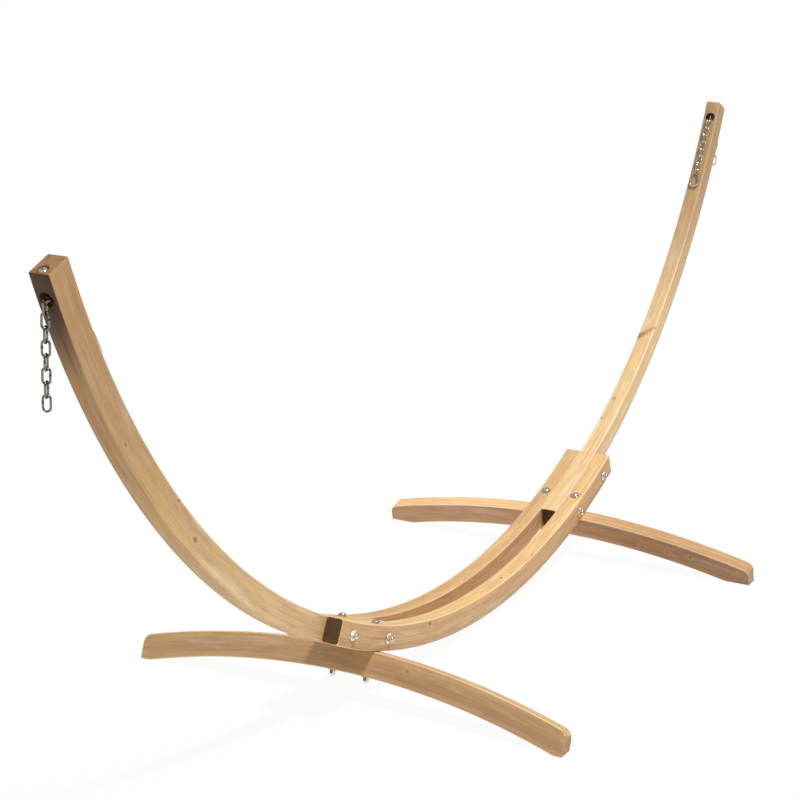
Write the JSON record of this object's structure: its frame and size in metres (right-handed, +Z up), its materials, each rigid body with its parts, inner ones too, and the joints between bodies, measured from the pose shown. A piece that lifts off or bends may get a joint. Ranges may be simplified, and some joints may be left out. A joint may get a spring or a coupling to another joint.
{
  "type": "wooden arc hammock stand",
  "caption": "Arched laminated timber hammock stand: curved uprights bolted between curved rails on curved cross feet, with link chains and snap hooks at the heads",
  "frame": {"origin": "centre of the overall box at ground level, where the stand's two planes of near symmetry cross", "axes": "+X along the stand from the left head to the right head, +Y across it towards the rear rail, +Z up"},
  "size_m": [3.2006, 1.01, 1.0925],
  "materials": {
    "spruce": "clear satin outdoor glaze over laminated spruce",
    "zinc_steel": "bright zinc plate",
    "chain_steel": "bright zinc plate, slightly duller than the bolts",
    "hook_steel": "polished stainless wire"
  },
  "bodies": {
    "stand": {"left_upright": "spruce", "right_upright": "spruce", "front_rail": "spruce", "rear_rail": "spruce", "left_foot": "spruce", "right_foot": "spruce", "left_foot_front_bolt": "zinc_steel", "left_foot_front_nut": "zinc_steel", "left_foot_rear_bolt": "zinc_steel", "left_foot_rear_nut": "zinc_steel", "left_head_screw": "zinc_steel", "left_link_09": "chain_steel", "left_link_10": "chain_steel", "left_link_11": "chain_steel", "left_side_lower_bolt": "zinc_steel", "left_side_lower_nut": "zinc_steel", "left_side_upper_bolt": "zinc_steel", "left_side_upper_nut": "zinc_steel", "right_foot_front_bolt": "zinc_steel", "right_foot_front_nut": "zinc_steel", "right_foot_rear_bolt": "zinc_steel", "right_foot_rear_nut": "zinc_steel", "right_head_screw": "zinc_steel", "right_link_06": "chain_steel", "right_link_07": "chain_steel", "right_link_08": "chain_steel", "right_side_lower_bolt": "zinc_steel", "right_side_lower_nut": "zinc_steel", "right_side_upper_bolt": "zinc_steel", "right_side_upper_nut": "zinc_steel"},
    "left_link_08": {"left_link_08": "chain_steel"},
    "left_link_07": {"left_link_07": "chain_steel"},
    "left_link_06": {"left_link_06": "chain_steel"},
    "left_link_05": {"left_link_05": "chain_steel"},
    "left_link_04": {"left_link_04": "chain_steel"},
    "left_link_03": {"left_link_03": "chain_steel"},
    "left_link_02": {"left_link_02": "chain_steel"},
    "left_link_01": {"left_link_01": "chain_steel"},
    "left_link_12": {"left_link_12": "chain_steel"},
    "left_link_13": {"left_link_13": "chain_steel"},
    "left_link_14": {"left_link_14": "chain_steel"},
    "left_link_15": {"left_link_15": "chain_steel"},
    "left_link_16": {"left_link_16": "chain_steel"},
    "left_hook": {"left_hook_body": "hook_steel"},
    "left_gate": {"left_hook_gate": "hook_steel"},
    "right_link_05": {"right_link_05": "chain_steel"},
    "right_link_04": {"right_link_04": "chain_steel"},
    "right_link_03": {"right_link_03": "chain_steel"},
    "right_link_02": {"right_link_02": "chain_steel"},
    "right_link_01": {"right_link_01": "chain_steel"},
    "right_link_09": {"right_link_09": "chain_steel"},
    "right_link_10": {"right_link_10": "chain_steel"},
    "right_link_11": {"right_link_11": "chain_steel"},
    "right_link_12": {"right_link_12": "chain_steel"},
    "right_link_13": {"right_link_13": "chain_steel"},
    "right_link_14": {"right_link_14": "chain_steel"},
    "right_link_15": {"right_link_15": "chain_steel"},
    "right_link_16": {"right_link_16": "chain_steel"},
    "right_hook": {"right_hook_body": "hook_steel"},
    "right_gate": {"right_hook_gate": "hook_steel"}
  },
  "joints": [
    {"name": "left_link_08_swing", "type": "hinge", "parent": "stand", "child": "left_link_08", "pos_m": [-1.58464, 0, 1.02497], "axis": [0, 1, 0], "range_deg": [-4, 45]},
    {"name": "left_link_07_swing", "type": "hinge", "parent": "left_link_08", "child": "left_link_07", "pos_m": [-1.58464, 0, 1.00297], "axis": [0.9848, 0.1736, 0], "range_deg": [-40, 40]},
    {"name": "left_link_06_swing", "type": "hinge", "parent": "left_link_07", "child": "left_link_06", "pos_m": [-1.58464, 0, 0.98097], "axis": [-0.309, 0.9511, 0], "range_deg": [-8, 45]},
    {"name": "left_link_05_swing", "type": "hinge", "parent": "left_link_06", "child": "left_link_05", "pos_m": [-1.58464, 0, 0.95897], "axis": [0.9511, 0.309, 0], "range_deg": [-40, 40]},
    {"name": "left_link_04_swing", "type": "hinge", "parent": "left_link_05", "child": "left_link_04", "pos_m": [-1.58464, 0, 0.93697], "axis": [-0.309, 0.9511, 0], "range_deg": [-5, 45]},
    {"name": "left_link_03_swing", "type": "hinge", "parent": "left_link_04", "child": "left_link_03", "pos_m": [-1.58464, 0, 0.91497], "axis": [0.9511, 0.309, 0], "range_deg": [-40, 40]},
    {"name": "left_link_02_swing", "type": "hinge", "parent": "left_link_03", "child": "left_link_02", "pos_m": [-1.58464, 0, 0.89297], "axis": [-0.309, 0.9511, 0], "range_deg": [-5, 45]},
    {"name": "left_link_01_swing", "type": "hinge", "parent": "left_link_02", "child": "left_link_01", "pos_m": [-1.58464, 0, 0.87097], "axis": [0.9511, 0.309, 0], "range_deg": [-40, 40]},
    {"name": "left_link_12_swing", "type": "hinge", "parent": "stand", "child": "left_link_12", "pos_m": [-1.52098, 0, 1.05479], "axis": [0, -1, 0], "range_deg": [0, 45]},
    {"name": "left_link_13_swing", "type": "hinge", "parent": "left_link_12", "child": "left_link_13", "pos_m": [-1.51194, 0, 1.03474], "axis": [0.9116, 0, 0.4111], "range_deg": [-40, 40]},
    {"name": "left_link_14_swing", "type": "hinge", "parent": "left_link_13", "child": "left_link_14", "pos_m": [-1.50289, 0, 1.01468], "axis": [0, -1, 0], "range_deg": [0, 45]},
    {"name": "left_link_15_swing", "type": "hinge", "parent": "left_link_14", "child": "left_link_15", "pos_m": [-1.49279, 0, 0.99514], "axis": [0.8882, 0, 0.4595], "range_deg": [-40, 40]},
    {"name": "left_link_16_swing", "type": "hinge", "parent": "left_link_15", "child": "left_link_16", "pos_m": [-1.48267, 0, 0.9756], "axis": [0, -1, 0], "range_deg": [0, 45]},
    {"name": "left_hook_swing", "type": "hinge", "parent": "left_link_16", "child": "left_hook", "pos_m": [-1.47206, 0, 0.95633], "axis": [0.8759, 0, 0.4825], "range_deg": [-40, 40]},
    {"name": "left_gate_open", "type": "hinge", "parent": "left_hook", "child": "left_gate", "pos_m": [-1.46838, 0.00763, 0.94815], "axis": [-0.9119, 0, -0.4105], "range_deg": [0, 28], "stiffness_Nm_per_rad": 0.02, "springref_deg": -17.19},
    {"name": "right_link_05_swing", "type": "hinge", "parent": "stand", "child": "right_link_05", "pos_m": [1.59135, 0, 1.01583], "axis": [1, 0, 0], "range_deg": [-40, 40]},
    {"name": "right_link_04_swing", "type": "hinge", "parent": "right_link_05", "child": "right_link_04", "pos_m": [1.59135, 0, 0.99383], "axis": [0, -1, 0], "range_deg": [-12, 45]},
    {"name": "right_link_03_swing", "type": "hinge", "parent": "right_link_04", "child": "right_link_03", "pos_m": [1.59135, 0, 0.97183], "axis": [1, 0, 0], "range_deg": [-40, 40]},
    {"name": "right_link_02_swing", "type": "hinge", "parent": "right_link_03", "child": "right_link_02", "pos_m": [1.59135, 0, 0.94983], "axis": [0, -1, 0], "range_deg": [-8, 45]},
    {"name": "right_link_01_swing", "type": "hinge", "parent": "right_link_02", "child": "right_link_01", "pos_m": [1.59135, 0, 0.92783], "axis": [1, 0, 0], "range_deg": [-40, 40]},
    {"name": "right_link_09_swing", "type": "hinge", "parent": "stand", "child": "right_link_09", "pos_m": [1.5336, 0, 1.0448], "axis": [-0.2232, 0, 0.9748], "range_deg": [-6, 6]},
    {"name": "right_link_10_swing", "type": "hinge", "parent": "right_link_09", "child": "right_link_10", "pos_m": [1.51216, 0, 1.03989], "axis": [0, 1, 0], "range_deg": [0, 45]},
    {"name": "right_link_11_swing", "type": "hinge", "parent": "right_link_10", "child": "right_link_11", "pos_m": [1.50311, 0, 1.01983], "axis": [-0.9116, 0, 0.4111], "range_deg": [-40, 40]},
    {"name": "right_link_12_swing", "type": "hinge", "parent": "right_link_11", "child": "right_link_12", "pos_m": [1.49407, 0, 0.99978], "axis": [0, 1, 0], "range_deg": [0, 45]},
    {"name": "right_link_13_swing", "type": "hinge", "parent": "right_link_12", "child": "right_link_13", "pos_m": [1.48373, 0, 0.98036], "axis": [-0.8828, 0, 0.4698], "range_deg": [-40, 40]},
    {"name": "right_link_14_swing", "type": "hinge", "parent": "right_link_13", "child": "right_link_14", "pos_m": [1.4734, 0, 0.96093], "axis": [0, 1, 0], "range_deg": [0, 45]},
    {"name": "right_link_15_swing", "type": "hinge", "parent": "right_link_14", "child": "right_link_15", "pos_m": [1.46259, 0, 0.94178], "axis": [-0.8709, 0, 0.4914], "range_deg": [-40, 40]},
    {"name": "right_link_16_swing", "type": "hinge", "parent": "right_link_15", "child": "right_link_16", "pos_m": [1.45178, 0, 0.92261], "axis": [0, 1, 0], "range_deg": [0, 45]},
    {"name": "right_hook_swing", "type": "hinge", "parent": "right_link_16", "child": "right_hook", "pos_m": [1.44047, 0, 0.90375], "axis": [-0.8577, 0, 0.5141], "range_deg": [-40, 40]},
    {"name": "right_gate_open", "type": "hinge", "parent": "right_hook", "child": "right_gate", "pos_m": [1.43665, 0.00763, 0.89562], "axis": [-0.9054, 0, 0.4246], "range_deg": [0, 28], "stiffness_Nm_per_rad": 0.02, "springref_deg": -17.19}
  ]
}
